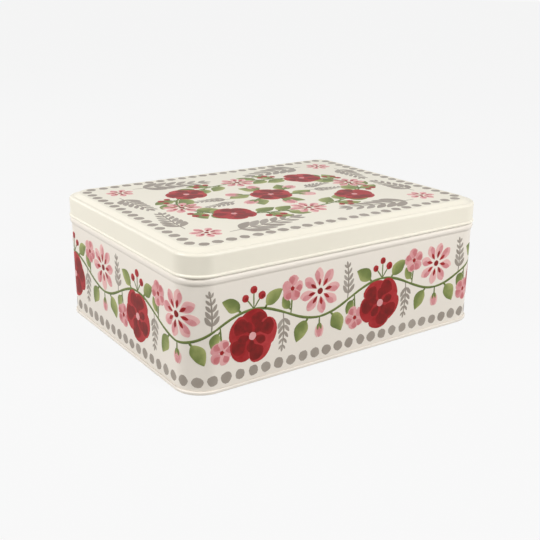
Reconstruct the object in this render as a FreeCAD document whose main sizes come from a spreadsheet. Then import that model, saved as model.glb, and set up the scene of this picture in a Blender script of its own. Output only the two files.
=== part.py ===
import FreeCAD, Part
import math
import os
import Sketcher
from FreeCAD import Vector

# Rectangular tinplate box with a lift-off lid, in millimetres.
# X runs along the long side, Y along the short side and Z up. The origin is on the
# surface that the tin stands on, below the middle of the tin.

doc = FreeCAD.newDocument("lidded_tin")

# Driving dimensions: alias, value and what it measures
dimensions = [
    ("body_length", 245.0, "outside of the wall along X"),
    ("body_width", 188.0, "outside of the wall along Y"),
    ("corner_radius", 18.0, "outside of the wall at its upright corners"),
    ("plate", 0.3, "thickness of the tinplate"),
    ("seam_gap", 0.1, "looseness between the layers of the base seam"),
    ("seam_height", 2.2, "base seam from the table to its top"),
    ("hook_clearance", 0.4, "end of a hook in the base seam to the fold that holds it"),
    ("base_clearance", 3.6, "underside of the base's rim above the table"),
    ("base_bend", 0.8, "inside radius of the bends in the base"),
    ("base_step_inset", 6.0, "wall to the foot of the step in the base"),
    ("base_step_run", 2.5, "width of the step in the base"),
    ("base_step_rise", 0.8, "height of the step in the base"),
    ("rim_height", 89.3, "top of the wall's rolled rim above the table"),
    ("rim_curl", 2.2, "outside width of the rolled rim"),
    ("bead_gap", 0.5, "underside of the lid's hem to the stop bead below it"),
    ("bead_width", 4.6, "stop bead from its lower to its upper edge"),
    ("bead_depth", 1.0, "how far the stop bead stands out of the wall"),
    ("bead_slope", 1.3, "height of the slope on each side of the stop bead"),
    ("side_seam_width", 6.0, "lock seam of the wall, along X"),
    ("side_seam_depth", 0.9, "how far the lock seam's folds stand inside the wall"),
    ("side_seam_margin", 1.0, "lock seam to the base below it and the rim above it"),
    ("lid_clearance", 0.3, "skirt of the lid to the wall"),
    ("lid_seat_gap", 0.3, "ledge of the lid to the rim below it"),
    ("skirt_depth", 15.0, "top of the lid's ledge to the underside of its hem"),
    ("hem_curl", 1.05, "outside width of the lid's hem, which is flared and curled inward"),
    ("flare_bend", 0.6, "inside radius of the bend where the skirt flares out into the hem"),
    ("curl_gap", 0.15, "end of the rim's curl to the wall that it rolls back to"),
    ("edge_bend", 1.7, "inside radius of the lid's top edge"),
    ("ledge_width", 3.2, "outside of the skirt to the foot of the shoulder"),
    ("shoulder_run", 4.0, "width of the sloping shoulder"),
    ("shoulder_rise", 2.1, "height of the sloping shoulder"),
    ("shoulder_bend", 1.5, "inside radius at the foot and head of the shoulder"),
    ("panel_margin", 1.0, "flat strip between a panel and its stamped edge"),
]

dims = doc.addObject("Spreadsheet::Sheet", "Dims")
for row, (alias, value, meaning) in enumerate(dimensions, start=1):
    dims.set(f"A{row}", meaning)
    dims.set(f"B{row}", str(value))
    dims.setAlias(f"B{row}", alias)
doc.recompute()

# Heights above the table, as formulas of the sheet
seam_floor = "Dims.plate"
hook_floor = "(2 * Dims.plate + Dims.seam_gap)"
seam_roof = "(Dims.seam_height - Dims.plate)"
base_rim_top = "(Dims.base_clearance + Dims.plate)"
base_top = f"({base_rim_top} + Dims.base_step_rise)"
rim_low = "(Dims.rim_height - Dims.rim_curl)"
ledge_under = "(Dims.rim_height + Dims.lid_seat_gap)"
panel_under = f"({ledge_under} + Dims.shoulder_rise)"
hem_low = f"({ledge_under} + Dims.plate - Dims.skirt_depth)"
hem_high = f"({hem_low} + Dims.hem_curl)"
flare_top = f"({hem_high} + Dims.hem_curl - Dims.plate)"
bead_high = f"({hem_low} - Dims.bead_gap)"
bead_low = f"({bead_high} - Dims.bead_width)"

# Distances outward from the wall's outer face, negative towards the middle of the tin
chuck_face = "(-Dims.plate - Dims.seam_gap)"
end_hook_face = "(Dims.seam_gap + Dims.plate)"
body_hook_face = "(2 * Dims.seam_gap + Dims.plate)"
seam_outer_face = "(3 * Dims.seam_gap + 2 * Dims.plate)"
shoulder_foot = "(Dims.lid_clearance + Dims.plate - Dims.ledge_width)"
shoulder_head = f"({shoulder_foot} - Dims.shoulder_run)"
lid_panel_edge = f"({shoulder_head} - Dims.panel_margin)"
base_step_head = "(-Dims.base_step_inset - Dims.base_step_run)"
base_panel_edge = f"({base_step_head} - Dims.panel_margin)"

# Inside radii that follow from what is folded: a seam fold is a little tighter than a
# half circle, a curl is nearly round, and the bead's slopes run smoothly into its crest and
# the wall. bead_half_turn is the tangent of half the angle that a slope makes with the wall.
fold_bend = f"(0.4 * {body_hook_face})"
rim_bend = "(0.45 * Dims.rim_curl - Dims.plate)"
hem_bend = "(0.45 * Dims.hem_curl - 0.9 * Dims.plate)"
bead_slant = "sqrt(Dims.bead_slope^2 + Dims.bead_depth^2)"
bead_half_crest = f"min(Dims.bead_width / 2 - Dims.bead_slope; {bead_slant} / 2)"
bead_half_turn = f"(Dims.bead_depth / (Dims.bead_slope + {bead_slant}))"
bead_crest_bend = f"(0.9 * {bead_half_crest} / {bead_half_turn} - Dims.plate)"
bead_foot_bend = f"(0.4 * {bead_slant} / {bead_half_turn})"


def number(formula):
    return float(dims.evalExpression(formula))


def constrain(sketch, formula, kind, *places):
    """Add a dimension to a sketch and bind it to a formula of the sheet."""
    index = sketch.addConstraint(Sketcher.Constraint(kind, *places, number(formula)))
    sketch.setExpression(f"Constraints[{index}]", formula)


def tie(sketch, kind, *places):
    """Add a geometric constraint to a sketch."""
    sketch.addConstraint(Sketcher.Constraint(kind, *places))


def new_sketch(body, name, role):
    """Start a sketch on one of the body's own planes."""
    sketch = body.newObject("Sketcher::SketchObject", name)
    plane = next(item for item in body.Origin.OriginFeatures if item.Role == role)
    sketch.AttachmentSupport = [(plane, "")]
    sketch.MapMode = "FlatFace"
    return sketch


def directions(corners):
    return [(after - before).normalize() for before, after in zip(corners, corners[1:])]


def turn_between(way_in, way_out):
    """Angle from one direction to the next, positive to the left."""
    return math.copysign(way_in.getAngle(way_out), way_in.cross(way_out).z)


def left_of(way):
    return Vector(-way.y, way.x, 0)


def draw_bent_line(sketch, corners, radii):
    """Draw straight runs through the corners with a tangent arc at each inner corner.

    Gives the indices of the runs and of the arcs.
    """
    ways = directions(corners)
    turns = [turn_between(way_in, way_out) for way_in, way_out in zip(ways, ways[1:])]
    trims = [radius * math.tan(abs(turn) / 2) for radius, turn in zip(radii, turns)]
    starts = [0.0] + trims
    ends = trims + [0.0]

    runs = []
    for i, way in enumerate(ways):
        line = Part.LineSegment(corners[i] + way * starts[i], corners[i + 1] - way * ends[i])
        runs.append(sketch.addGeometry(line, False))

    arcs = []
    for i, (turn, radius) in enumerate(zip(turns, radii)):
        begin = sketch.Geometry[runs[i]].EndPoint
        centre = begin + left_of(ways[i]) * math.copysign(radius, turn)
        angle = math.atan2(begin.y - centre.y, begin.x - centre.x)
        circle = Part.Circle(centre, Vector(0, 0, 1), radius)
        arc = Part.ArcOfCircle(circle, min(angle, angle + turn), max(angle, angle + turn))
        arcs.append(sketch.addGeometry(arc, False))
        first, last = (1, 2) if turn > 0 else (2, 1)
        tie(sketch, "Tangent", runs[i], 2, arcs[i], first)
        tie(sketch, "Tangent", arcs[i], last, runs[i + 1], 1)
    return runs, arcs


def sheet_section(body, name, corners, bends, side):
    """Draw the section of a bent sheet on the XZ plane, where the sweep starts.

    corners are (outward, height) formulas along one face of the sheet, bends the inside
    radius at each inner corner, and side is 1 where the plate lies to the left of that
    face as it runs, or -1 to its right.
    """
    sketch = new_sketch(body, name, "XZ_Plane")
    plate = number("Dims.plate")
    places = [(f"Dims.body_length / 2 + {out}", up) for out, up in corners]
    face = [Vector(number(across), number(up), 0) for across, up in places]
    ways = directions(face)
    normals = [left_of(way) * side for way in ways]

    back = [face[0] + normals[0] * plate]
    for corner, before, after in zip(face[1:], normals, normals[1:]):
        back.append(corner + (before + after) * (plate / (1 + before.dot(after))))
    back.append(face[-1] + normals[-1] * plate)

    face_radii = []
    back_radii = []
    for way_in, way_out, bend in zip(ways, ways[1:], bends):
        outside = f"({bend} + Dims.plate)"
        plate_inside = side * turn_between(way_in, way_out) > 0
        face_radii.append(outside if plate_inside else bend)
        back_radii.append(bend if plate_inside else outside)

    runs, arcs = draw_bent_line(sketch, face, [number(radius) for radius in face_radii])
    back_runs, back_arcs = draw_bent_line(sketch, back, [number(radius) for radius in back_radii])
    for run, back_run in zip(runs, back_runs):
        tie(sketch, "Parallel", run, back_run)
        constrain(sketch, "Dims.plate", "Distance", back_run, 1, run)
    for arc, radius in zip(arcs + back_arcs, face_radii + back_radii):
        constrain(sketch, radius, "Radius", arc)

    pins = [(runs[0], 1)]
    for i, corner in enumerate(face[1:-1]):
        mark = sketch.addGeometry(Part.Point(corner), True)
        tie(sketch, "PointOnObject", mark, 1, runs[i])
        tie(sketch, "PointOnObject", mark, 1, runs[i + 1])
        pins.append((mark, 1))
    pins.append((runs[-1], 2))
    for (geometry, point), (across, up) in zip(pins, places):
        constrain(sketch, across, "DistanceX", -1, 1, geometry, point)
        constrain(sketch, up, "DistanceY", -1, 1, geometry, point)

    for i, point in ((0, 1), (-1, 2)):
        edge = sketch.addGeometry(Part.LineSegment(face[i], back[i]), False)
        tie(sketch, "Coincident", edge, 1, runs[i], point)
        tie(sketch, "Coincident", edge, 2, back_runs[i], point)
        tie(sketch, "Perpendicular", edge, runs[i])
    return sketch


def rounded_outline(body, name, outward, height):
    """Draw the wall's outline, moved outward, at a height above the table.

    It starts in the middle of the right-hand side, where the sections are drawn.
    """
    sketch = new_sketch(body, name, "XY_Plane")
    sketch.setExpression("AttachmentOffset.Base.z", height)
    half_length = f"(Dims.body_length / 2 + {outward})"
    half_width = f"(Dims.body_width / 2 + {outward})"
    radius = f"(Dims.corner_radius + {outward})"
    x = number(half_length)
    y = number(half_width)
    corners = [Vector(x, 0), Vector(x, y), Vector(-x, y), Vector(-x, -y), Vector(x, -y), Vector(x, 0)]
    runs, arcs = draw_bent_line(sketch, corners, [number(radius)] * 4)
    tie(sketch, "Coincident", runs[-1], 2, runs[0], 1)
    tie(sketch, "PointOnObject", runs[0], 1, -1)
    for run in runs[0::2]:
        tie(sketch, "Vertical", run)
    for run in runs[1::2]:
        tie(sketch, "Horizontal", run)
    for arc in arcs[1:]:
        tie(sketch, "Equal", arcs[0], arc)
    constrain(sketch, radius, "Radius", arcs[0])
    constrain(sketch, half_length, "DistanceX", -1, 1, runs[0], 1)
    constrain(sketch, half_length, "DistanceX", runs[2], 1, -1, 1)
    constrain(sketch, half_width, "DistanceY", -1, 1, runs[1], 1)
    constrain(sketch, half_width, "DistanceY", runs[3], 1, -1, 1)
    return sketch


def sweep_round(body, section):
    """Carry a section once round the outline of the wall."""
    outline = rounded_outline(body, f"{body.Name}_path", "0", "0")
    doc.recompute()
    pipe = body.newObject("PartDesign::AdditivePipe", f"{body.Name}_sweep")
    pipe.Profile = section
    pipe.Spine = (outline, [f"Edge{i + 1}" for i in range(outline.GeometryCount)])
    doc.recompute()


def pad_up(body, sketch, length):
    """Raise a sketch into a solid of the given height."""
    pad = body.newObject("PartDesign::Pad", f"{sketch.Name}_pad")
    pad.Profile = sketch
    pad.setExpression("Length", length)
    doc.recompute()


def make_body_wall():
    """The strip of plate bent round into the walls, from its base hook to its rolled rim."""
    body = doc.addObject("PartDesign::Body", "body_wall")
    rim_inside = "(-Dims.rim_curl)"
    bead_bends = [bead_foot_bend, bead_crest_bend, bead_crest_bend, bead_foot_bend]
    section = sheet_section(
        body,
        "wall_section",
        [
            (body_hook_face, f"({seam_roof} - Dims.hook_clearance)"),
            (body_hook_face, hook_floor),
            ("0", hook_floor),
            ("0", bead_low),
            ("Dims.bead_depth", f"({bead_low} + Dims.bead_slope)"),
            ("Dims.bead_depth", f"({bead_high} - Dims.bead_slope)"),
            ("0", bead_high),
            ("0", "Dims.rim_height"),
            (rim_inside, "Dims.rim_height"),
            (rim_inside, rim_low),
            ("(-Dims.plate - Dims.curl_gap)", rim_low),
        ],
        [fold_bend] * 2 + bead_bends + [rim_bend] * 3,
        side=1,
    )
    sweep_round(body, section)
    add_side_seam(body)
    return body


def add_side_seam(body):
    """The folds of the lock seam, which stand inside the middle of the back wall."""
    seam_low = f"({base_top} + Dims.side_seam_margin)"
    half_width = "(Dims.side_seam_width / 2)"
    wall_inside = "(Dims.body_width / 2 - Dims.plate)"
    sketch = new_sketch(body, "side_seam", "XY_Plane")
    sketch.setExpression("AttachmentOffset.Base.z", seam_low)
    x = number(half_width)
    outer = number(wall_inside)
    inner = outer - number("Dims.side_seam_depth")
    corners = [Vector(-x, inner), Vector(x, inner), Vector(x, outer), Vector(-x, outer)]
    for before, after in zip(corners, corners[1:] + corners[:1]):
        sketch.addGeometry(Part.LineSegment(before, after), False)
    for i, kind in enumerate(["Horizontal", "Vertical"] * 2):
        tie(sketch, "Coincident", i, 2, (i + 1) % 4, 1)
        tie(sketch, kind, i)
    constrain(sketch, half_width, "DistanceX", 0, 1, -1, 1)
    constrain(sketch, half_width, "DistanceX", -1, 1, 0, 2)
    constrain(sketch, wall_inside, "DistanceY", -1, 1, 2, 1)
    constrain(sketch, "Dims.side_seam_depth", "DistanceY", 1, 1, 1, 2)
    pad_up(body, sketch, f"{rim_low} - Dims.side_seam_margin - {seam_low}")


def make_base_panel():
    """The stamped base, with its edge rolled round the hook of the wall."""
    body = doc.addObject("PartDesign::Body", "base_panel")
    section = sheet_section(
        body,
        "base_section",
        [
            (base_panel_edge, base_top),
            (base_step_head, base_top),
            ("(-Dims.base_step_inset)", base_rim_top),
            (chuck_face, base_rim_top),
            (chuck_face, seam_floor),
            (seam_outer_face, seam_floor),
            (seam_outer_face, seam_roof),
            (end_hook_face, seam_roof),
            (end_hook_face, f"({hook_floor} + Dims.hook_clearance)"),
        ],
        ["Dims.base_bend"] * 3 + [fold_bend] * 4,
        side=-1,
    )
    sweep_round(body, section)
    middle = rounded_outline(body, "base_middle", base_panel_edge, f"({base_top} - Dims.plate)")
    pad_up(body, middle, "Dims.plate")
    return body


def make_lid():
    """The drawn lid: panel, sloping shoulder, ledge, skirt and a hem flared out and curled in."""
    body = doc.addObject("PartDesign::Body", "lid")
    hem_floor = f"({hem_low} + Dims.plate)"
    hem_front = "(Dims.lid_clearance + Dims.hem_curl - Dims.plate)"
    hem_back = "(Dims.lid_clearance + Dims.plate)"
    section = sheet_section(
        body,
        "lid_section",
        [
            (lid_panel_edge, panel_under),
            (shoulder_head, panel_under),
            (shoulder_foot, ledge_under),
            ("Dims.lid_clearance", ledge_under),
            ("Dims.lid_clearance", flare_top),
            (hem_front, hem_high),
            (hem_front, hem_floor),
            (hem_back, hem_floor),
            (hem_back, hem_high),
        ],
        ["Dims.shoulder_bend"] * 2 + ["Dims.edge_bend", "Dims.flare_bend"] + [hem_bend] * 3,
        side=1,
    )
    sweep_round(body, section)
    middle = rounded_outline(body, "lid_middle", lid_panel_edge, panel_under)
    pad_up(body, middle, "Dims.plate")
    return body


sub_parts = [make_body_wall(), make_base_panel(), make_lid()]

for item in doc.Objects:
    if "Invalid" in item.State or "Error" in item.State:
        raise RuntimeError(f"{item.Label} failed: {item.State}")
for sub_part in sub_parts:
    shape = sub_part.Shape
    if shape.isNull() or not shape.isValid() or len(shape.Solids) != 1:
        raise RuntimeError(f"{sub_part.Label} is not one valid solid")

os.makedirs("parts", exist_ok=True)
for sub_part in sub_parts:
    sub_part.Shape.exportStep(f"parts/{sub_part.Label}.step")
    print(sub_part.Label, round(sub_part.Shape.Volume, 3), "mm3")
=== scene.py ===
# Printed tinplate box with a slip-on lid: its finish and print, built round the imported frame
import itertools
import math
import random

import bmesh
import bpy
from mathutils import Matrix, Vector


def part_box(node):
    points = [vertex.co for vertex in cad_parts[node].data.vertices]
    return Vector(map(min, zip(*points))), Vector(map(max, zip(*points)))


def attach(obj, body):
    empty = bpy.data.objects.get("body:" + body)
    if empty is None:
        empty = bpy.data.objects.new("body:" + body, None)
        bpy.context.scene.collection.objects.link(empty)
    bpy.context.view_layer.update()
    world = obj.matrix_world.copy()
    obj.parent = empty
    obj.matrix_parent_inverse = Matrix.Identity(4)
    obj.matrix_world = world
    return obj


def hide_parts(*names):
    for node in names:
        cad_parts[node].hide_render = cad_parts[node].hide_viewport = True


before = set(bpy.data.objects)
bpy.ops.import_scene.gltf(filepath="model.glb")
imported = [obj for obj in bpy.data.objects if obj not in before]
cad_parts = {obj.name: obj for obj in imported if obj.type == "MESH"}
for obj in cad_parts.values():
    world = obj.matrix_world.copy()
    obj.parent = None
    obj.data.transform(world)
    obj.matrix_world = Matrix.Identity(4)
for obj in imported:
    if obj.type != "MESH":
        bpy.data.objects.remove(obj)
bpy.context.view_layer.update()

mm = 0.001               # pieces are modelled in millimetres and scaled to metres when done
dice = random.Random(11)

tin = {
    "cornerRadius": 18.0,  # plan corners of the wall's outer face
    "plate": 0.3,          # sheet thickness
    "beadOut": 1.0,        # how far the stop bead, the widest part of the wall, stands out
    "cornerSteps": 24,     # faces round each corner
    "bendStep": 10.0,      # degrees of a fold to each face
    "fewestSteps": 3,      # faces round the slightest fold
    "weld": 0.004,         # points nearer than this become one
    "levelSlack": 0.01,    # how far a panel's edge may lie from its height
}
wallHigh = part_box("body_wall")[1]
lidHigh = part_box("lid")[1]
halfLength = wallHigh.x / mm - tin["beadOut"]
halfWidth = wallHigh.y / mm - tin["beadOut"]
runX = halfLength - tin["cornerRadius"]  # half of a straight side, between its corners
runY = halfWidth - tin["cornerRadius"]
print("frame loaded, tin", round(2 * halfLength, 1), "by", round(2 * halfWidth, 1), "mm")


# sRGB hex to linear colour
def linear(hexColour):
    channels = [int(hexColour[i:i + 2], 16) / 255 for i in (1, 3, 5)]
    return [c / 12.92 if c <= 0.04045 else ((c + 0.055) / 1.055) ** 2.4 for c in channels] + [1.0]


# Adds a node with its settings, and sets or links its inputs
def addNode(tree, kind, inputs=None, **settings):
    node = tree.nodes.new(kind)
    for name, value in settings.items():
        setattr(node, name, value)
    for name, value in (inputs or {}).items():
        if isinstance(value, bpy.types.NodeSocket):
            tree.links.new(value, node.inputs[name])
        else:
            node.inputs[name].default_value = value
    return node


def newMaterial(name):
    material = bpy.data.materials.new(name)
    material.use_nodes = True
    material.node_tree.nodes.clear()
    return material, material.node_tree


# Noise scale for features about this many millimetres across, on coordinates in metres
def perMetre(size):
    return 1.0 / (size * mm)


noiseSpan = {"From Min": 0.3, "From Max": 0.7}  # where most of a noise's values lie


# Roller-coated satin lacquer on tinplate: a smooth cream skin with a soft sheen,
# a faint orange peel and the slow waves of thin sheet
def creamLacquer(name, look):
    material, tree = newMaterial(name)
    place = addNode(tree, "ShaderNodeTexCoord").outputs["Object"]
    cloud = addNode(tree, "ShaderNodeTexNoise", {
        "Vector": place, "Scale": perMetre(look["cloudSize"]), "Detail": 3.0})
    tint = addNode(tree, "ShaderNodeMix", {
        0: cloud.outputs["Fac"], 6: linear(look["shade"]), 7: linear(look["cream"])}, data_type="RGBA")
    sheen = addNode(tree, "ShaderNodeMapRange", {
        "Value": cloud.outputs["Fac"], **noiseSpan,
        "To Min": look["roughness"][0], "To Max": look["roughness"][1]})
    peel = addNode(tree, "ShaderNodeTexNoise", {
        "Vector": place, "Scale": perMetre(look["peelSize"]), "Detail": 1.0})
    wave = addNode(tree, "ShaderNodeTexNoise", {
        "Vector": place, "Scale": perMetre(look["waveSize"]), "Detail": 0.0})
    sheetBump = addNode(tree, "ShaderNodeBump", {
        "Height": wave.outputs["Fac"], "Strength": 1.0, "Distance": look["waveDepth"] * mm})
    peelBump = addNode(tree, "ShaderNodeBump", {
        "Height": peel.outputs["Fac"], "Normal": sheetBump.outputs["Normal"],
        "Strength": 1.0, "Distance": look["peelDepth"] * mm})
    shader = addNode(tree, "ShaderNodeBsdfPrincipled", {
        "Base Color": tint.outputs[2], "Roughness": sheen.outputs["Result"], "IOR": 1.5,
        "Normal": peelBump.outputs["Normal"]})
    addNode(tree, "ShaderNodeOutputMaterial", {"Surface": shader.outputs["BSDF"]})
    return material


# Electrolytic tinplate, cold rolled and left bare: a cool silver sheet with a fine grain along
# its rolling direction, drawn coarser than the real 0.1 mm so that it shows
def bareTinplate(look):
    material, tree = newMaterial("bareTinplate")
    place = addNode(tree, "ShaderNodeTexCoord").outputs["Object"]
    along = addNode(tree, "ShaderNodeMapping", {
        "Vector": place, "Scale": (look["grainStretch"], 1.0, 1.0)})
    grain = addNode(tree, "ShaderNodeTexNoise", {
        "Vector": along.outputs["Vector"], "Scale": perMetre(look["grainWidth"]), "Detail": 4.0})
    spangle = addNode(tree, "ShaderNodeTexNoise", {
        "Vector": place, "Scale": perMetre(look["spangleSize"]), "Detail": 2.0})
    tint = addNode(tree, "ShaderNodeMix", {
        0: spangle.outputs["Fac"], 6: linear(look["dull"]), 7: linear(look["bright"])}, data_type="RGBA")
    gloss = addNode(tree, "ShaderNodeMapRange", {
        "Value": grain.outputs["Fac"], **noiseSpan,
        "To Min": look["roughness"][0], "To Max": look["roughness"][1]})
    bump = addNode(tree, "ShaderNodeBump", {
        "Height": grain.outputs["Fac"], "Strength": 1.0, "Distance": look["grainDepth"] * mm})
    shader = addNode(tree, "ShaderNodeBsdfPrincipled", {
        "Base Color": tint.outputs[2], "Metallic": 1.0, "Roughness": gloss.outputs["Result"],
        "Normal": bump.outputs["Normal"]})
    addNode(tree, "ShaderNodeOutputMaterial", {"Surface": shader.outputs["BSDF"]})
    return material


# Offset-printed matt ink, in the manner of a watercolour: each stroke thins a little towards
# its rim and is mottled where the colour pooled
def lithoInk(name, look):
    material, tree = newMaterial(name)
    place = addNode(tree, "ShaderNodeTexCoord").outputs["Object"]
    blade = addNode(tree, "ShaderNodeUVMap", uv_map="blade")
    along = addNode(tree, "ShaderNodeSeparateXYZ", {0: blade.outputs["UV"]})
    wash = addNode(tree, "ShaderNodeAttribute", attribute_name="wash")
    pool = addNode(tree, "ShaderNodeTexNoise", {
        "Vector": place, "Scale": perMetre(look["poolSize"]), "Detail": 2.5, "Roughness": 0.55})
    fromRib = addNode(tree, "ShaderNodeMath", {
        0: along.outputs["Y"], 1: look["rib"]}, operation="SUBTRACT")
    ribSquared = addNode(tree, "ShaderNodeMath", {
        0: fromRib.outputs[0], 1: fromRib.outputs[0]}, operation="MULTIPLY")
    thin = addNode(tree, "ShaderNodeMath", {
        0: ribSquared.outputs[0], 1: look["thinning"], 2: look["start"]}, operation="MULTIPLY_ADD")
    sideways = addNode(tree, "ShaderNodeMath", {
        0: fromRib.outputs[0], 1: look["twoTone"], 2: thin.outputs[0]}, operation="MULTIPLY_ADD")
    mottled = addNode(tree, "ShaderNodeMath", {
        0: pool.outputs["Fac"], 1: look["mottle"], 2: sideways.outputs[0]}, operation="MULTIPLY_ADD")
    tone = addNode(tree, "ShaderNodeMath", {
        0: wash.outputs["Fac"], 1: look["variety"], 2: mottled.outputs[0]}, operation="MULTIPLY_ADD")
    ramp = addNode(tree, "ShaderNodeValToRGB", {0: tone.outputs[0]})
    steps = ramp.color_ramp.elements
    steps[0].color = linear(look["deep"])
    steps[1].color = linear(look["pale"])
    steps.new(look["fullTone"]).color = linear(look["full"])
    shader = addNode(tree, "ShaderNodeBsdfPrincipled", {
        "Base Color": ramp.outputs["Color"], "Roughness": look["roughness"], "IOR": 1.5,
        "Specular IOR Level": look["specular"]})
    addNode(tree, "ShaderNodeOutputMaterial", {"Surface": shader.outputs["BSDF"]})
    return material


lacquer = {
    "cloudSize": 45.0, "peelSize": 1.6, "peelDepth": 0.004, "waveSize": 70.0, "waveDepth": 0.12,
    "roughness": (0.4, 0.46),
}
lidLacquer = creamLacquer("creamLacquerLid", {**lacquer, "cream": "#ECE7D8", "shade": "#E9E3D3"})
wallLacquer = creamLacquer("creamLacquerWall", {**lacquer, "cream": "#E8E1D7", "shade": "#E5DDD2"})
tinplate = bareTinplate({
    "bright": "#C4C4C0", "dull": "#B4B3AE", "roughness": (0.30, 0.38), "spangleSize": 6.0,
    "grainWidth": 0.5, "grainStretch": 0.03, "grainDepth": 0.002})

ink = {
    "poolSize": 5.0, "mottle": 0.6, "variety": 0.85, "start": -0.1, "thinning": 0.5, "twoTone": 0.0,
    "rib": 0.5,       # a stroke's middle line, across its width
    "fullTone": 0.5,  # where the full colour lies between deep and pale
    "roughness": 0.4, "specular": 0.08,
}
crimsonInk = lithoInk("crimsonInk", {**ink, "deep": "#5E2622", "full": "#9A282A", "pale": "#B64042"})
roseInk = lithoInk("roseInk", {**ink, "deep": "#BA6467", "full": "#D18E91", "pale": "#E4B5B2"})
leafInk = lithoInk("leafInk", {
    **ink, "deep": "#4F5F37", "full": "#77834C", "pale": "#A5AA6E", "twoTone": 0.5})
greyInk = lithoInk("greyInk", {
    **ink, "deep": "#8F867C", "full": "#A0978D", "pale": "#B4ADA4", "mottle": 0.3})
print("materials ready")


# The section of one sheet face as a wire: corners are (out from the wall's face, height, inside
# radius of the bend), and the plate lies on the given side of the wire
def bentSection(corners, plateSide):
    bm = bmesh.new()
    verts = [bm.verts.new((halfLength + out, 0, up)) for out, up, bend in corners]
    for first, second in zip(verts, verts[1:]):
        bm.edges.new((first, second))
    for i in range(1, len(corners) - 1):
        before, here, after = [Vector(c[:2]) for c in corners[i - 1:i + 2]]
        turn = (here - before).angle_signed(after - here)
        radius = corners[i][2] + (tin["plate"] if turn * plateSide < 0 else 0)
        steps = max(tin["fewestSteps"], round(abs(math.degrees(turn)) / tin["bendStep"]))
        bmesh.ops.bevel(
            bm, geom=[verts[i]], affect="VERTICES", offset=radius * math.tan(abs(turn) / 2),
            offset_type="OFFSET", segments=steps, profile=0.5, material=-1)
    return bm


# Carries the section once round the tin, along the sides and about the corners.
# A groove breaks the back run in the middle where the strip's two ends meet.
def sweepRound(bm, groove=None):
    back = [(-2 * runX, 0)]
    if groove:
        side, floor, depth = groove["side"], groove["floor"], groove["depth"]
        back = [(-runX + side, 0), (floor - side, -depth), (-2 * floor, 0), (floor - side, depth),
                (-runX + side, 0)]
    legs = [[(0, runY)], back, [(0, -2 * runY)], [(2 * runX, 0)], [(0, runY)]]
    turns = [(runX, runY), (-runX, runY), (-runX, -runY), (runX, -runY), None]
    section = list(bm.edges)
    for leg, centre in zip(legs, turns):
        for dx, dy in leg:
            made = bmesh.ops.extrude_edge_only(bm, edges=section)["geom"]
            verts = [g for g in made if isinstance(g, bmesh.types.BMVert)]
            ends = set(verts)
            section = [g for g in made if isinstance(g, bmesh.types.BMEdge) and ends.issuperset(g.verts)]
            bmesh.ops.translate(bm, verts=verts, vec=(dx, dy, 0))
        if centre:
            made = bmesh.ops.spin(
                bm, geom=verts + section, cent=(*centre, 0), axis=(0, 0, 1), angle=math.pi / 2,
                steps=tin["cornerSteps"], use_merge=False)["geom_last"]
            section = [g for g in made if isinstance(g, bmesh.types.BMEdge)]
    bmesh.ops.remove_doubles(bm, verts=bm.verts, dist=tin["weld"])


# Closes the loop of free edges that lies at this height with one flat panel
def fillPanel(bm, height):
    def level(edge):
        return all(abs(v.co.z - height) < tin["levelSlack"] for v in edge.verts)
    loop = [e for e in bm.edges if e.is_boundary and level(e)]
    bmesh.ops.holes_fill(bm, edges=loop, sides=0)


# Turns the whole sheet so that its face farthest in one direction looks that way
def faceOutward(bm, direction):
    outside = Vector(direction)
    bmesh.ops.recalc_face_normals(bm, faces=bm.faces)
    farthest = max(bm.faces, key=lambda f: f.calc_center_median().dot(outside))
    if farthest.normal.dot(outside) < 0:
        bmesh.ops.reverse_faces(bm, faces=bm.faces)


# Scales a finished bmesh to metres and makes it a piece that rides on a body
def makePiece(bm, name, materials, body):
    bmesh.ops.scale(bm, vec=(mm, mm, mm), verts=bm.verts)
    mesh = bpy.data.meshes.new(name)
    bm.to_mesh(mesh)
    bm.free()
    for material in materials:
        mesh.materials.append(material)
    for polygon in mesh.polygons:
        polygon.use_smooth = True
    piece = bpy.data.objects.new(name, mesh)
    bpy.context.scene.collection.objects.link(piece)
    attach(piece, body)
    print(name, len(mesh.polygons), "faces")
    return piece


# Gives a sheet face its thickness; faces behind it take the next material slot
def thicken(piece, thickness, materialStep=1):
    plate = piece.modifiers.new("plate", "SOLIDIFY")
    plate.thickness = thickness * mm
    plate.offset = -1
    plate.use_even_offset = True
    plate.use_quality_normals = True
    plate.material_offset = materialStep
    normals = piece.modifiers.new("faceNormals", "WEIGHTED_NORMAL")
    normals.keep_sharp = True


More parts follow.
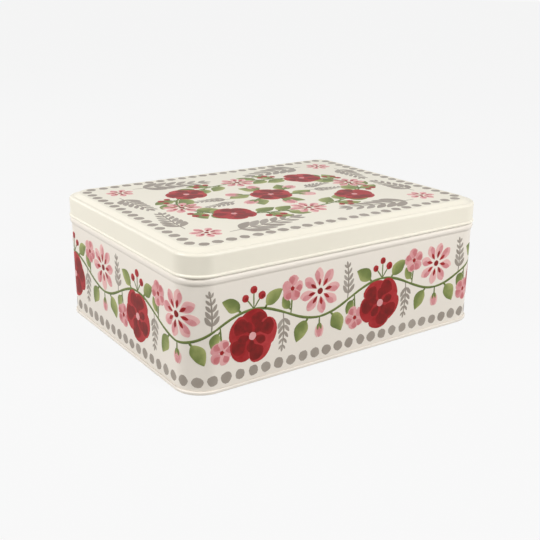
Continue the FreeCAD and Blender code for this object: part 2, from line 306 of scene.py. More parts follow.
# The wall: one strip bent round, hooked at its foot, beaded below the lid and curled in at its rim
wallSheet = {
    "hookOut": 0.5, "hookTop": 1.5, "hookFoot": 0.7, "foldBend": 0.2,
    "beadFoot": 69.8, "beadLow": 71.1, "beadHigh": 73.1, "beadTop": 74.4,
    "beadFootBend": 1.93, "beadCrestBend": 1.87,
    "rimTop": 89.3, "rimCurl": 2.2, "rimEnd": 0.45, "rimBend": 0.69,
    # the line of the side seam: half its width at the face and at its floor, and its depth
    "groove": {"side": 0.45, "floor": 0.15, "depth": 0.12},
}
curlFoot = wallSheet["rimTop"] - wallSheet["rimCurl"]
wallSection = bentSection([
    (wallSheet["hookOut"], wallSheet["hookTop"], 0),
    (wallSheet["hookOut"], wallSheet["hookFoot"], wallSheet["foldBend"]),
    (0, wallSheet["hookFoot"], wallSheet["foldBend"]),
    (0, wallSheet["beadFoot"], wallSheet["beadFootBend"]),
    (tin["beadOut"], wallSheet["beadLow"], wallSheet["beadCrestBend"]),
    (tin["beadOut"], wallSheet["beadHigh"], wallSheet["beadCrestBend"]),
    (0, wallSheet["beadTop"], wallSheet["beadFootBend"]),
    (0, wallSheet["rimTop"], wallSheet["rimBend"]),
    (-wallSheet["rimCurl"], wallSheet["rimTop"], wallSheet["rimBend"]),
    (-wallSheet["rimCurl"], curlFoot, wallSheet["rimBend"]),
    (-wallSheet["rimEnd"], curlFoot, 0)], plateSide=1)
sweepRound(wallSection, wallSheet["groove"])
faceOutward(wallSection, (0, -1, 0))
wallShell = makePiece(wallSection, "wallShell", [wallLacquer, tinplate], "tin")
thicken(wallShell, tin["plate"])
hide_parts("body_wall")

# The lock seam inside the back wall, where the strip's ends are hooked and hammered flat
lockSeam = {"width": 6.0, "depth": 0.9, "foot": 5.7, "top": 86.1, "round": 0.35, "roundSteps": 4}
seamBar = bmesh.new()
bmesh.ops.create_cube(seamBar, size=1.0)
bmesh.ops.scale(seamBar, verts=seamBar.verts, vec=(
    lockSeam["width"], lockSeam["depth"], lockSeam["top"] - lockSeam["foot"]))
bmesh.ops.bevel(
    seamBar, geom=seamBar.edges[:], affect="EDGES", offset=lockSeam["round"], offset_type="OFFSET",
    segments=lockSeam["roundSteps"], profile=0.5, material=-1)
bmesh.ops.translate(seamBar, verts=seamBar.verts, vec=(
    0, halfWidth - tin["plate"] - lockSeam["depth"] / 2, (lockSeam["foot"] + lockSeam["top"]) / 2))
makePiece(seamBar, "sideSeam", [tinplate], "tin")

# The base: one stamping whose edge is rolled round the wall's hook, modelled by its underside
baseSheet = {
    "panelUp": 4.4, "panelIn": 9.5, "stepIn": 8.55, "stepEnd": 6.05, "ledgeUp": 3.6, "stepBend": 0.8,
    "wallIn": 0.7, "seamOut": 1.2, "seamTop": 2.2, "hookOut": 0.1, "hookFoot": 1.1, "foldBend": 0.2,
    "seamBend": 0.48, "hookBend": 0.01,  # rolled round on top, where the seam catches the light
}
baseSection = bentSection([
    (-baseSheet["panelIn"], baseSheet["panelUp"], 0),
    (-baseSheet["stepIn"], baseSheet["panelUp"], baseSheet["stepBend"]),
    (-baseSheet["stepEnd"], baseSheet["ledgeUp"], baseSheet["stepBend"]),
    (-baseSheet["wallIn"], baseSheet["ledgeUp"], baseSheet["stepBend"]),
    (-baseSheet["wallIn"], 0, baseSheet["foldBend"]),
    (baseSheet["seamOut"], 0, baseSheet["foldBend"]),
    (baseSheet["seamOut"], baseSheet["seamTop"], baseSheet["seamBend"]),
    (baseSheet["hookOut"], baseSheet["seamTop"], baseSheet["hookBend"]),
    (baseSheet["hookOut"], baseSheet["hookFoot"], 0)], plateSide=1)
sweepRound(baseSection)
fillPanel(baseSection, baseSheet["panelUp"])
faceOutward(baseSection, (0, 0, -1))
baseShell = makePiece(baseSection, "baseShell", [wallLacquer, tinplate], "tin")
thicken(baseShell, tin["plate"])
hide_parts("base_panel")

# The lid: one drawn sheet with a flat panel, a sloping shoulder, a straight skirt and a hem that
# flares out and is curled inwards.
# Its top lies a print's thickness below the box, so that the ink stays inside.
lidSheet = {
    "inkRoom": 0.17, "panelIn": 7.6, "shoulderIn": 6.53, "shoulderEnd": 2.53, "shoulderFall": 2.1,
    "shoulderBend": 1.5, "skirtOut": 0.6, "edgeBend": 1.7, "flareTop": 76.82, "flareBend": 0.6,
    "hemFoot": 74.9, "hemOut": 1.35, "hemTop": 76.07, "hemBack": 0.3, "hemEnd": 75.95, "hemBend": 0.2,
}
lidTop = lidHigh.z / mm - lidSheet["inkRoom"]
lidEdge = lidTop - lidSheet["shoulderFall"]
lidSection = bentSection([
    (-lidSheet["panelIn"], lidTop, 0),
    (-lidSheet["shoulderIn"], lidTop, lidSheet["shoulderBend"]),
    (-lidSheet["shoulderEnd"], lidEdge, lidSheet["shoulderBend"]),
    (lidSheet["skirtOut"], lidEdge, lidSheet["edgeBend"]),
    (lidSheet["skirtOut"], lidSheet["flareTop"], lidSheet["flareBend"]),
    (lidSheet["hemOut"], lidSheet["hemTop"], lidSheet["hemBend"]),
    (lidSheet["hemOut"], lidSheet["hemFoot"], lidSheet["hemBend"]),
    (lidSheet["hemBack"], lidSheet["hemFoot"], lidSheet["hemBend"]),
    (lidSheet["hemBack"], lidSheet["hemEnd"], 0)], plateSide=-1)
sweepRound(lidSection)
fillPanel(lidSection, lidTop)
faceOutward(lidSection, (0, 0, 1))
lidShell = makePiece(lidSection, "lidShell", [lidLacquer, tinplate], "lid")
thicken(lidShell, tin["plate"])
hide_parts("lid")

# Printing: each ink is laid down as strokes on a flat sheet, then wrapped round the wall or laid
# on the lid. Angles of headings and bends are in radians.
press = {
    "cell": 1.6,          # longest side of a stroke's faces where the sheet is flat
    "cornerCell": 0.7,    # and where it goes round a corner of the wall
    "fewestCells": (5, 2),  # along and across a stroke
    "film": 0.18,         # depth of the ink film, which reaches into the plate or the ink below it
    # later inks lie over earlier ones
    "levels": {"grey": 0.02, "leaf": 0.05, "rose": 0.08, "crimson": 0.11},
    "overAll": 0.06,      # lifts a late dab over the inks round it
    "layers": 23,         # strokes lie on this many layers in turn, so that neighbours don't coincide
    "layerStep": 0.0012,
    "secondWash": 0.006,  # lifts a petal's second wash clear of the first
    "wallLift": 0.02,     # clears the facets of the wall's corners
    "wobble": 0.06,       # unevenness of a hand-drawn edge, as a share of the width
    "wobbleTurns": (9, 4),  # how often it comes along and across a stroke, in radians
    "tipWeld": 0.02,      # points nearer than this become one where a stroke ends
    "straight": 0.001,    # a stroke that bends less than this is drawn straight
    "flowerSpread": 0.03,  # by how large a share flowers differ in size
}
laid = itertools.count()


# A flat sheet for each ink, and the size of the faces that strokes get at a point of it
def newSheets(cellAt):
    inks = {}
    for name in press["levels"]:
        inks[name] = bmesh.new()
        inks[name].loops.layers.uv.new("blade")
        inks[name].verts.layers.float.new("wash")
    return {"inks": inks, "cellAt": cellAt}


def vary(value, share):
    return value * dice.uniform(1 - share, 1 + share)


# A turn at random, in radians
def anyTurn():
    return dice.uniform(0, 6)


def towards(angle):
    return Vector((math.cos(angle), math.sin(angle)))


# The middle line of a stroke: it starts at a point, sets off at a heading and turns evenly
def arcSpine(start, heading, length, bend=0.0):
    def spine(s):
        angle = heading + bend * s
        if abs(bend) < press["straight"]:
            step = towards(angle) * length * s
        else:
            chord = Vector((math.sin(angle) - math.sin(heading), math.cos(heading) - math.cos(angle)))
            step = chord * length / bend
        return Vector(start) + step, Vector((-math.sin(angle), math.cos(angle)))
    return spine


# One stroke of ink: a grid drawn out along a spine. Its belly lies nearer the tip as belly grows,
# a low taper rounds its ends off, and wash runs from 0, deep, to 1, pale.
def stroke(sheets, inkName, spine, length, half, belly=1.0, taper=0.5, wash=0.5, lift=0.0):
    bm = sheets["inks"][inkName]
    level = press["levels"][inkName] + next(laid) % press["layers"] * press["layerStep"] + lift
    cell = sheets["cellAt"](spine(0.5)[0])
    fewestAlong, fewestAcross = press["fewestCells"]
    wavesAlong, wavesAcross = press["wobbleTurns"]
    grid = bmesh.ops.create_grid(
        bm, x_segments=max(fewestAlong, math.ceil(length / cell)),
        y_segments=max(fewestAcross, math.ceil(2 * half / cell)), size=0.5, calc_uvs=True)["verts"]
    washLayer = bm.verts.layers.float["wash"]
    sway = dice.uniform(0, 2 * math.pi)
    for v in grid:
        s = 0.5 - 0.5 * math.cos(math.pi * (v.co.x + 0.5))
        width = half * max(0.0, math.sin(math.pi * s ** belly)) ** taper
        width *= 1 + press["wobble"] * math.sin(wavesAlong * s + sway + wavesAcross * v.co.y)
        point, side = spine(s)
        place = point + side * 2 * v.co.y * width
        v.co = (place.x, place.y, level)
        v[washLayer] = wash
    bmesh.ops.remove_doubles(bm, verts=grid, dist=press["tipWeld"])


# A stroke that sets off from a point
def brush(sheets, inkName, start, heading, length, half, bend=0.0, **manner):
    stroke(sheets, inkName, arcSpine(start, heading, length, bend), length, half, **manner)


stemManner = {"taper": 0.25, "wash": 0.1}
vineManner = {"taper": 0.12, "wash": 0.1}


def roundDab(sheets, inkName, centre, diameter, **manner):
    heading = dice.uniform(0, math.pi)
    start = Vector(centre) - towards(heading) * diameter / 2
    brush(sheets, inkName, start, heading, diameter, diameter / 2, **manner)


# A petal in two washes, the second laid off to one side of the first.
# The shape's foot and length are shares of the flower's radius, the wash's of the petal.
petalWash = {"curl": 0.25, "up": 0.2, "aside": 0.2, "lean": 0.12, "length": 0.68, "breadth": 0.6}


def petal(sheets, inkName, centre, heading, radius, half, shape):
    foot = Vector(centre) + towards(heading) * shape["foot"] * radius
    length = vary(shape["length"] * radius, shape["spread"])
    firstWash = dice.uniform(*shape["washes"])
    bend = dice.uniform(-petalWash["curl"], petalWash["curl"])
    outline = {"belly": shape["belly"], "taper": shape["taper"]}
    brush(sheets, inkName, foot, heading, length, half, bend, **outline, wash=firstWash)
    side = dice.choice((-1, 1))
    sideways = towards(heading + math.pi / 2) * side
    within = foot + towards(heading) * petalWash["up"] * length + sideways * petalWash["aside"] * half
    brush(sheets, inkName, within, heading + side * petalWash["lean"], petalWash["length"] * length,
          petalWash["breadth"] * half, bend, **outline, wash=shape["secondWash"], lift=press["secondWash"])


# A leaf on a short stalk, as shares of its length
leafShape = {
    "stalk": 0.14, "stalkHalf": 0.045, "half": 0.28, "spread": 0.08,
    "stalkReach": 1.6,  # how many stalks long its stroke is, which runs on under the blade
    "belly": 0.8, "taper": 0.85, "washes": (0.3, 0.6),
}


def leaf(sheets, start, heading, length, bend):
    stalk = leafShape["stalk"] * length
    brush(sheets, "leaf", start, heading, leafShape["stalkReach"] * stalk, leafShape["stalkHalf"] * length,
          **stemManner)
    foot = Vector(start) + towards(heading) * stalk
    stroke(sheets, "leaf", arcSpine(foot, heading, length - stalk, bend), length,
           vary(leafShape["half"] * length, leafShape["spread"]), leafShape["belly"],
           leafShape["taper"], dice.uniform(*leafShape["washes"]))


# Broad red petals, short dark slips between them and a pale eye, as shares of the radius
roseShape = {
    "petals": 5, "foot": 0.08, "length": 0.92, "spread": 0.04, "half": 0.52, "belly": 1.5,
    "taper": 0.55, "washes": (0.35, 0.8), "secondWash": 0.0,
    "slipFoot": 0.1, "slipLength": 0.5, "slipHalf": 0.17,
    "slip": {"belly": 1.4, "taper": 0.6, "wash": 0.0, "lift": 2 * press["secondWash"]},
    "eye": 0.3, "eyeWash": 0.6,
}


def wildRose(sheets, centre, radius, turn):
    between = 360 / roseShape["petals"]
    for i in range(roseShape["petals"]):
        heading = turn + math.radians(between * i)
        petal(sheets, "crimson", centre, heading, radius, roseShape["half"] * radius, roseShape)
    for i in range(roseShape["petals"]):
        heading = turn + math.radians(between * i + between / 2)
        foot = Vector(centre) + towards(heading) * roseShape["slipFoot"] * radius
        brush(sheets, "crimson", foot, heading, roseShape["slipLength"] * radius,
              roseShape["slipHalf"] * radius, **roseShape["slip"])
    roundDab(sheets, "rose", centre, roseShape["eye"] * radius, wash=roseShape["eyeWash"],
             lift=press["overAll"])


# Narrow pink petals, each with a dark slip at its foot, round a dark eye, as shares of the radius;
# half widths are shared out among the petals
daisyShape = {
    "foot": 0.22, "length": 0.78, "spread": 0.05, "half": 1.75, "belly": 1.4, "taper": 0.65,
    "washes": (0.6, 0.95), "secondWash": 0.3,
    "slipFoot": 0.24, "slipLength": 0.36, "slipHalf": 0.62, "slip": {"belly": 1.2, "taper": 0.7},
    "slipWashes": (0.1, 0.5), "eye": 0.28, "eyeWash": 0.1,
}


def daisy(sheets, centre, radius, turn, petals=8):
    for i in range(petals):
        heading = turn + 2 * math.pi * i / petals
        petal(sheets, "rose", centre, heading, radius, daisyShape["half"] * radius / petals, daisyShape)
        foot = Vector(centre) + towards(heading) * daisyShape["slipFoot"] * radius
        brush(sheets, "crimson", foot, heading, daisyShape["slipLength"] * radius,
              daisyShape["slipHalf"] * radius / petals, **daisyShape["slip"],
              wash=dice.uniform(*daisyShape["slipWashes"]))
    roundDab(sheets, "crimson", centre, daisyShape["eye"] * radius, wash=daisyShape["eyeWash"])


# Broad pink petals round a dark eye, as shares of the radius
blossomShape = {
    "petals": 5, "foot": 0.12, "length": 0.88, "spread": 0.05, "half": 0.46, "belly": 1.5,
    "taper": 0.55, "washes": (0.3, 0.7), "secondWash": 0.0, "eye": 0.36, "eyeWash": 0.3,
}


def blossom(sheets, centre, radius, turn):
    for i in range(blossomShape["petals"]):
        heading = turn + math.radians(360 / blossomShape["petals"] * i)
        petal(sheets, "rose", centre, heading, radius, blossomShape["half"] * radius, blossomShape)
    roundDab(sheets, "crimson", centre, blossomShape["eye"] * radius, wash=blossomShape["eyeWash"])


# Three berries on thin stalks, each with a dark side: shares of a stalk or a berry,
# apart from the stalk's half width in millimetres
berryShape = {
    "fan": 0.55, "sideReach": 0.8, "curl": 0.2, "stalkHalf": 0.45, "spread": 0.08, "wash": 0.6,
    "shadeAt": (0.12, -0.12), "shade": 0.55, "shadeWash": 0.1,
}


def berrySpray(sheets, start, heading, stalk, size):
    for i in (-1, 0, 1):
        angle = heading + berryShape["fan"] * i
        reach = stalk * (1.0 if i == 0 else berryShape["sideReach"])
        curl = berryShape["curl"] * i
        brush(sheets, "leaf", start, angle, reach, berryShape["stalkHalf"], curl, **stemManner)
        tip = arcSpine(start, angle, reach, curl)(1.0)[0]
        roundDab(sheets, "crimson", tip, vary(size, berryShape["spread"]), wash=berryShape["wash"])
        roundDab(sheets, "crimson", tip + Vector(berryShape["shadeAt"]) * size,
                 berryShape["shade"] * size, wash=berryShape["shadeWash"])


# A pink bud with a darker middle, in a green cup, as shares of its length
budShape = {
    "stalk": 0.5, "stalkHalf": 0.04, "petalFoot": 0.36, "petalLength": 0.62, "petalHalf": 0.17,
    "petals": ((0.35, 0.8), (-0.35, 0.8), (0.0, 0.3)),  # lean and wash
    "petal": {"belly": 0.85, "taper": 0.7},
    "cupDown": 0.06, "cupLeans": (0.6, -0.6), "cupLength": 0.34, "cupHalf": 0.07,
    "cup": {"belly": 0.9, "taper": 0.7, "wash": 0.3, "lift": press["overAll"]},
}


def bud(sheets, foot, heading, length):
    brush(sheets, "leaf", foot, heading, budShape["stalk"] * length, budShape["stalkHalf"] * length,
          **stemManner)
    base = Vector(foot) + towards(heading) * budShape["petalFoot"] * length
    for lean, wash in budShape["petals"]:
        brush(sheets, "rose", base, heading + lean, budShape["petalLength"] * length,
              budShape["petalHalf"] * length, -lean, **budShape["petal"], wash=wash)
    cupFoot = base - towards(heading) * budShape["cupDown"] * length
    for lean in budShape["cupLeans"]:
        brush(sheets, "leaf", cupFoot, heading + lean, budShape["cupLength"] * length,
              budShape["cupHalf"] * length, -lean, **budShape["cup"])


# A curved stem with pairs of small leaflets that shorten towards the tip: shares of its length
# or of a leaflet's, apart from the stem's half width in millimetres
fernShape = {
    "stemHalf": 0.55, "tipGap": 0.6, "leaflet": 0.32, "atFoot": 1.1, "shortening": 0.65, "lean": 0.85,
    "curl": 0.4, "leafletHalf": 0.19, "leafletManner": {"belly": 1.1, "taper": 0.75},
    "washes": (0.2, 0.7), "tipFoot": 0.93, "tipLength": 0.16, "tipHalf": 0.035, "tipTaper": 0.8,
}


def fern(sheets, start, heading, length, bend, pairs=6):
    brush(sheets, "grey", start, heading, length, fernShape["stemHalf"], bend, **stemManner)
    rib = arcSpine(start, heading, length, bend)
    for i in range(1, pairs + 1):
        s = i / (pairs + fernShape["tipGap"])
        size = length * fernShape["leaflet"] * (fernShape["atFoot"] - fernShape["shortening"] * s)
        for side in (-1, 1):
            brush(sheets, "grey", rib(s)[0], heading + bend * s + side * fernShape["lean"], size,
                  fernShape["leafletHalf"] * size, -fernShape["curl"] * side,
                  **fernShape["leafletManner"], wash=dice.uniform(*fernShape["washes"]))
    brush(sheets, "grey", rib(fernShape["tipFoot"])[0], heading + bend, fernShape["tipLength"] * length,
          fernShape["tipHalf"] * length, taper=fernShape["tipTaper"])


# Uneven round dabs in a row
dotShape = {
    "curl": 0.4, "lengthSpread": 0.06, "breadthSpread": 0.07, "bellies": (0.9, 1.12),
    "taper": (0.5, 0.62), "washes": (0.3, 0.6),
}


def dotRow(sheets, count, place, diameter):
    for i in range(count):
        heading = dice.uniform(0, math.pi)
        length = vary(diameter, dotShape["lengthSpread"])
        start = place(i / count) - towards(heading) * length / 2
        bend = dice.uniform(-dotShape["curl"], dotShape["curl"])
        half = vary(diameter / 2, dotShape["breadthSpread"])
        brush(sheets, "grey", start, heading, length, half, bend, belly=dice.uniform(*dotShape["bellies"]),
              taper=dice.uniform(*dotShape["taper"]), wash=dice.uniform(*dotShape["washes"]))


# Length of the tin's outline, or of a line set in from it
def outlineLength(inset=0.0):
    return 4 * (runX + runY) + 2 * math.pi * (tin["cornerRadius"] - inset)


# A point on that line and the way the line faces there.
# The distance runs anticlockwise from the middle of the front.
def onOutline(distance, inset=0.0):
    radius = tin["cornerRadius"] - inset
    quarter = radius * math.pi / 2
    distance %= outlineLength(inset)
    point = Vector((0, -halfWidth + inset))
    heading = 0.0
    for run in (runX, 2 * runY, 2 * runX, 2 * runY, runX):
        ahead = towards(heading)
        inward = towards(heading + math.pi / 2)
        if distance <= run:
            return point + ahead * distance, -inward
        point += ahead * run
        distance -= run
        if distance <= quarter:
            facing = -towards(heading + math.pi / 2 + distance / radius)
            return point + inward * radius + facing * radius, facing
        point += (ahead + inward) * radius
        distance -= quarter
        heading += math.pi / 2


# Finishes one side's inks as thin films, each ink a piece
def pressOn(sheets, names, place, body):
    inks = {"crimson": crimsonInk, "rose": roseInk, "leaf": leafInk, "grey": greyInk}
    for inkName, bm in sheets["inks"].items():
        for v in bm.verts:
            v.co = place(v.co)
        for e in bm.edges:
            e.smooth = not e.is_boundary
        piece = makePiece(bm, names + inkName.capitalize(), [inks[inkName]], body)
        thicken(piece, press["film"], materialStep=0)


# The wall's print: a row of dots, and a waving vine all round with a red rose in each lower hollow
# and a pink daisy in each upper one
wallPrint = {
    "waves": 8, "middle": 41.0, "swing": 8.0, "vineHalf": 0.9, "vineOverlap": 0.5,
    "seamMargin": 5.0,    # the vine ends this far from the side seam
    "cornerReach": 24.0,  # how near the middle of a corner a stroke is made finer
    "dots": {"up": 8.2, "size": 7.6, "pitch": 9.7},
    "rose": {"radius": 18.0, "up": 31.5},
    "daisy": {"radius": 16.0, "up": 50.5},
    "berries": {"along": 1.0, "heading": 1.57, "stalk": 12.5, "size": 5.2},
    "bud": {"heading": -1.57, "length": 15.0},
    # distance along from the crest or the trough, heading, length and bend
    "roseLeaves": ((-8.0, 2.3, 17.0, 0.5), (9.0, 0.85, 17.0, -0.5)),
    "daisyLeaves": ((-9.0, -2.3, 18.0, 0.4), (9.0, -0.85, 18.0, -0.4)),
    "fern": {"along": -3.0, "heading": 1.45, "length": 25.0, "bend": 0.3, "pairs": 5},
    "twig": {"along": 3.0, "heading": 1.5, "length": 16.0, "half": 0.6},
    "twigLeaf": {"out": 3.0, "heading": 2.3, "length": 12.0, "bend": 0.4},
    "blossom": {"along": 1.0, "out": 17.0, "radius": 8.6},
}
around = outlineLength()
wave = around / wallPrint["waves"]
quarterWave = wave / 4


# Strokes near a corner get finer faces, because they are wrapped round it
def wallCell(point):
    quarter = tin["cornerRadius"] * math.pi / 2
    for cornerStart in (runX, runX + 2 * runY + quarter):
        if abs(abs(point.x) - cornerStart - quarter / 2) < wallPrint["cornerReach"]:
            return press["cornerCell"]
    return press["cell"]


def onVine(u):
    return Vector((u, wallPrint["middle"] + wallPrint["swing"] * math.sin(2 * math.pi * u / wave)))


def vineSpine(start, end):
    def spine(s):
        u = start + (end - start) * s
        slope = wallPrint["swing"] * 2 * math.pi / wave * math.cos(2 * math.pi * u / wave)
        return onVine(u), towards(math.atan(slope) + math.pi / 2)
    return spine


wallSheets = newSheets(wallCell)
dots = wallPrint["dots"]
dotRow(wallSheets, round(around / dots["pitch"]), lambda share: Vector((around * share, dots["up"])),
       dots["size"])
firstEnd = -around / 2 + wallPrint["seamMargin"]
for k in range(4 * wallPrint["waves"]):  # the vine in short lengths, with a gap at the seam
    start = max(-around / 2 + k * quarterWave - wallPrint["vineOverlap"], firstEnd)
    end = min(-around / 2 + (k + 1) * quarterWave + wallPrint["vineOverlap"], -firstEnd)
    stroke(wallSheets, "leaf", vineSpine(start, end), end - start, wallPrint["vineHalf"], **vineManner)
for k in range(wallPrint["waves"]):
    foot = -around / 2 + k * wave
    crest = foot + quarterWave
    trough = foot + 3 * quarterWave
    # a rose under the crest, with berries and two leaves above it
    rose, berries = wallPrint["rose"], wallPrint["berries"]
    wildRose(wallSheets, (crest, rose["up"]), vary(rose["radius"], press["flowerSpread"]), anyTurn())
    berrySpray(wallSheets, onVine(crest + berries["along"]), berries["heading"], berries["stalk"],
               berries["size"])
    for along, heading, length, bend in wallPrint["roseLeaves"]:
        leaf(wallSheets, onVine(crest + along), heading, length, bend)
    # a daisy above the trough, with a bud and two leaves below it
    flower = wallPrint["daisy"]
    daisy(wallSheets, (trough, flower["up"]), vary(flower["radius"], press["flowerSpread"]), anyTurn())
    bud(wallSheets, onVine(trough), wallPrint["bud"]["heading"], wallPrint["bud"]["length"])
    for along, heading, length, bend in wallPrint["daisyLeaves"]:
        leaf(wallSheets, onVine(trough + along), heading, length, bend)
    # where the vine climbs a fern above it and a blossom on a twig below, and where it falls the reverse
    frond, twig = wallPrint["fern"], wallPrint["twig"]
    twigLeaf, small = wallPrint["twigLeaf"], wallPrint["blossom"]
    for middle, up in ((foot, 1), (foot + 2 * quarterWave, -1)):
        if abs(middle) < around / 2 - wallPrint["seamMargin"]:
            fern(wallSheets, onVine(middle + frond["along"]), up * frond["heading"], frond["length"],
                 up * frond["bend"], frond["pairs"])
            twigFoot = onVine(middle + twig["along"])
            brush(wallSheets, "leaf", twigFoot, -up * twig["heading"], twig["length"], twig["half"],
                  **stemManner)
            leaf(wallSheets, twigFoot - Vector((0, up * twigLeaf["out"])), -up * twigLeaf["heading"],
                 twigLeaf["length"], up * twigLeaf["bend"])
            blossom(wallSheets, twigFoot - Vector((-small["along"], up * small["out"])),
                    small["radius"], anyTurn())


def onWall(flat):
    point, facing = onOutline(flat.x)
    place = point + facing * (flat.z + press["wallLift"])
    return Vector((place.x, place.y, flat.y))


pressOn(wallSheets, "wallPrint", onWall, "tin")

# The lid's print: a border of dots, an oval wreath, ferns, a daisy in each corner and a posy
# in the middle
lidPrint = {
    "dots": {"inset": 11.8, "size": 7.3, "pitch": 9.5},
    "wreath": (74.0, 46.0),  # half axes of the oval
    "flowers": 8, "roseRadius": 15.0, "daisyRadius": 13.5,
    "vineHalf": 0.8, "vineLength": 50.0,  # roughly, between two flowers
    # share of the way to the next flower, side and length
    "leaves": ((0.3, 1, 20.0), (0.42, -1, 20.0), (0.58, 1, 18.0), (0.68, -1, 18.0)),
    "leafLean": 0.9, "leafBend": 0.5,
    "berries": {"share": 0.5, "lean": 1.5, "stalk": 11.0, "size": 5.0},
    "cornerDaisy": {"place": (91.0, 62.0), "radius": 10.5, "petals": 7},
    # start, heading, length and bend of the ferns in one quarter
    "ferns": (
        ((78.0, 68.0), 3.2, 58.0, 0.15),
        ((98.0, 48.0), -1.6, 42.0, -0.15),
        ((33.0, 3.0), 0.45, 26.0, -0.5),
    ),
    "posy": {"radius": 16.0, "turn": 0.3, "buds": 6, "firstBud": 0.5, "ring": 15.0, "squash": 0.75,
             "budLength": 20.0, "leafLength": 20.0, "leafLean": 0.5, "leafBend": 0.3},
}


# A point of the wreath and the way the wreath runs there
def onWreath(angle):
    halfX, halfY = lidPrint["wreath"]
    point = Vector((halfX * math.cos(angle), halfY * math.sin(angle)))
    return point, math.atan2(halfY * math.cos(angle), -halfX * math.sin(angle))


def wreathSpine(start, end):
    def spine(s):
        point, heading = onWreath(start + (end - start) * s)
        return point, towards(heading + math.pi / 2)
    return spine


lidSheets = newSheets(lambda point: press["cell"])
border = lidPrint["dots"]
borderLength = outlineLength(border["inset"])
dotRow(lidSheets, round(borderLength / border["pitch"]),
       lambda share: onOutline(borderLength * share, border["inset"])[0], border["size"])
step = 2 * math.pi / lidPrint["flowers"]
for k in range(lidPrint["flowers"]):
    angle = k * step
    stroke(lidSheets, "leaf", wreathSpine(angle, angle + step), lidPrint["vineLength"],
           lidPrint["vineHalf"], **vineManner)
    centre = onWreath(angle)[0]
    if k % 2:
        wildRose(lidSheets, centre, vary(lidPrint["roseRadius"], press["flowerSpread"]), anyTurn())
    else:
        daisy(lidSheets, centre, vary(lidPrint["daisyRadius"], press["flowerSpread"]), anyTurn())
    for share, side, length in lidPrint["leaves"]:
        point, heading = onWreath(angle + share * step)
        leaf(lidSheets, point, heading + side * lidPrint["leafLean"], length, -lidPrint["leafBend"] * side)
    berries = lidPrint["berries"]
    point, heading = onWreath(angle + berries["share"] * step)
    berrySpray(lidSheets, point, heading - berries["lean"], berries["stalk"], berries["size"])
for sideX, sideY in ((1, 1), (-1, 1), (-1, -1), (1, -1)):
    flower = lidPrint["cornerDaisy"]
    x, y = flower["place"]
    daisy(lidSheets, (sideX * x, sideY * y), flower["radius"], anyTurn(), flower["petals"])
    for (x, y), heading, length, bend in lidPrint["ferns"]:
        mirrored = math.atan2(sideY * math.sin(heading), sideX * math.cos(heading))
        fern(lidSheets, (sideX * x, sideY * y), mirrored, length, sideX * sideY * bend)
posy = lidPrint["posy"]
wildRose(lidSheets, (0, 0), posy["radius"], posy["turn"])
for k in range(posy["buds"]):
    angle = posy["firstBud"] + 2 * math.pi * k / posy["buds"]
    place = Vector((math.cos(angle), posy["squash"] * math.sin(angle))) * posy["ring"]
    leaf(lidSheets, place, angle + posy["leafLean"], posy["leafLength"], posy["leafBend"])
    bud(lidSheets, place, angle, posy["budLength"])


def onLid(flat):
    return Vector((flat.x, flat.y, lidTop + flat.z))


pressOn(lidSheets, "lidPrint", onLid, "lid")

# A plain pale floor that stands for the studio sweep: nearly even to the eye, with a trace of
# the tin's shadow, while the light that it throws back on the tin is that of grey paper
studio = {
    "pale": "#F8F8F8", "grey": "#AEADAA", "air": "#FFFFFF",
    "floorHalf": 20.0,  # metres
    "evenness": 0.965, "ambient": 0.04,
}


# 1 where the eye sees a surface, or sees it mirrored or through glass, and 0 where it only lights
def seenDirectly(tree):
    path = addNode(tree, "ShaderNodeLightPath")
    shiny = addNode(tree, "ShaderNodeMath", {
        0: path.outputs["Is Glossy Ray"], 1: path.outputs["Is Transmission Ray"]}, operation="MAXIMUM")
    return addNode(tree, "ShaderNodeMath", {
        0: path.outputs["Is Camera Ray"], 1: shiny.outputs[0]}, operation="MAXIMUM").outputs[0]


floorMaterial, tree = newMaterial("studioPaper")
direct = seenDirectly(tree)
even = addNode(tree, "ShaderNodeMath", {0: direct, 1: studio["evenness"]}, operation="MULTIPLY")
tone = addNode(tree, "ShaderNodeMix", {
    0: direct, 6: linear(studio["grey"]), 7: linear(studio["pale"])}, data_type="RGBA")
paper = addNode(tree, "ShaderNodeBsdfDiffuse", {"Color": tone.outputs[2]})
glow = addNode(tree, "ShaderNodeEmission", {"Color": linear(studio["pale"]), "Strength": 1.0})
mixed = addNode(tree, "ShaderNodeMixShader", {
    0: even.outputs[0], 1: paper.outputs[0], 2: glow.outputs[0]})
addNode(tree, "ShaderNodeOutputMaterial", {"Surface": mixed.outputs[0]})
floorGrid = bmesh.new()
bmesh.ops.create_grid(floorGrid, x_segments=1, y_segments=1, size=studio["floorHalf"])
floorMesh = bpy.data.meshes.new("studioFloor")
floorGrid.to_mesh(floorMesh)
floorGrid.free()
floorMesh.materials.append(floorMaterial)
studioFloor = bpy.data.objects.new("studioFloor", floorMesh)
bpy.context.scene.collection.objects.link(studioFloor)

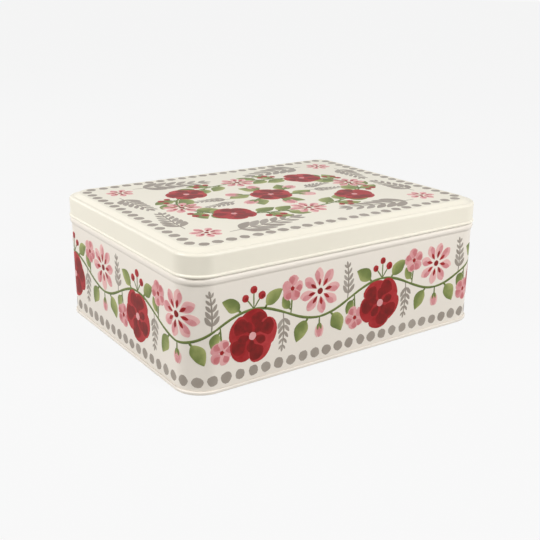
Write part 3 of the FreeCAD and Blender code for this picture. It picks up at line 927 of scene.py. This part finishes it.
world = bpy.data.worlds.new("studioWorld")
world.use_nodes = True
world.node_tree.nodes.clear()
tree = world.node_tree
air = addNode(tree, "ShaderNodeBackground", {
    "Color": linear(studio["air"]), "Strength": studio["ambient"]})
sweep = addNode(tree, "ShaderNodeBackground", {"Color": linear(studio["pale"]), "Strength": 1.0})
chosen = addNode(tree, "ShaderNodeMixShader", {
    0: seenDirectly(tree), 1: air.outputs[0], 2: sweep.outputs[0]})
addNode(tree, "ShaderNodeOutputWorld", {"Surface": chosen.outputs[0]})
bpy.context.scene.world = world

# Softboxes round the tin, by bearing from +X and height, both in degrees, with sides in metres
lights = {
    "left": {"bearing": 170, "height": 30, "side": 0.5, "watts": 19.6},
    "right": {"bearing": -72, "height": 42, "side": 0.5, "watts": 17.4},
    "lowRight": {"bearing": -56, "height": 12, "side": 0.5, "watts": 6.0},
    "back": {"bearing": 112, "height": 24, "side": 0.6, "watts": 3.0},
}
aim = Vector((0, 0, 0.045))
lampDistance = 1.6
for name, box in lights.items():
    lamp = bpy.data.lights.new(name, "AREA")
    lamp.shape = "SQUARE"
    lamp.size = box["side"]
    lamp.energy = box["watts"]
    light = bpy.data.objects.new(name, lamp)
    outward = Matrix.Rotation(math.radians(box["bearing"]), 3, "Z") @ (
        Matrix.Rotation(math.radians(-box["height"]), 3, "Y") @ Vector((1, 0, 0)))
    light.location = aim + outward * lampDistance
    light.rotation_euler = outward.to_track_quat("Z", "Y").to_euler()
    light.visible_camera = False
    bpy.context.scene.collection.objects.link(light)
print("studio lit")

# The photo's viewpoint: near left corner of the tin, looking a little down
view = {
    "place": (-0.33903, -0.48690, 0.23316),         # metres
    "yaw": 34.841, "pitch": 18.615, "roll": 0.522,  # degrees
    "lens": 55.338, "sensor": 36.0,
}
cameraData = bpy.data.cameras.new("camera")
cameraData.lens = view["lens"]
cameraData.sensor_width = view["sensor"]
camera = bpy.data.objects.new("camera", cameraData)
camera.matrix_world = (
    Matrix.Translation(view["place"])
    @ Matrix.Rotation(math.radians(-view["yaw"]), 4, "Z")
    @ Matrix.Rotation(math.radians(90 - view["pitch"]), 4, "X")
    @ Matrix.Rotation(math.radians(view["roll"]), 4, "Z"))
bpy.context.scene.collection.objects.link(camera)
bpy.context.scene.camera = camera
bpy.context.scene.view_settings.view_transform = "Standard"
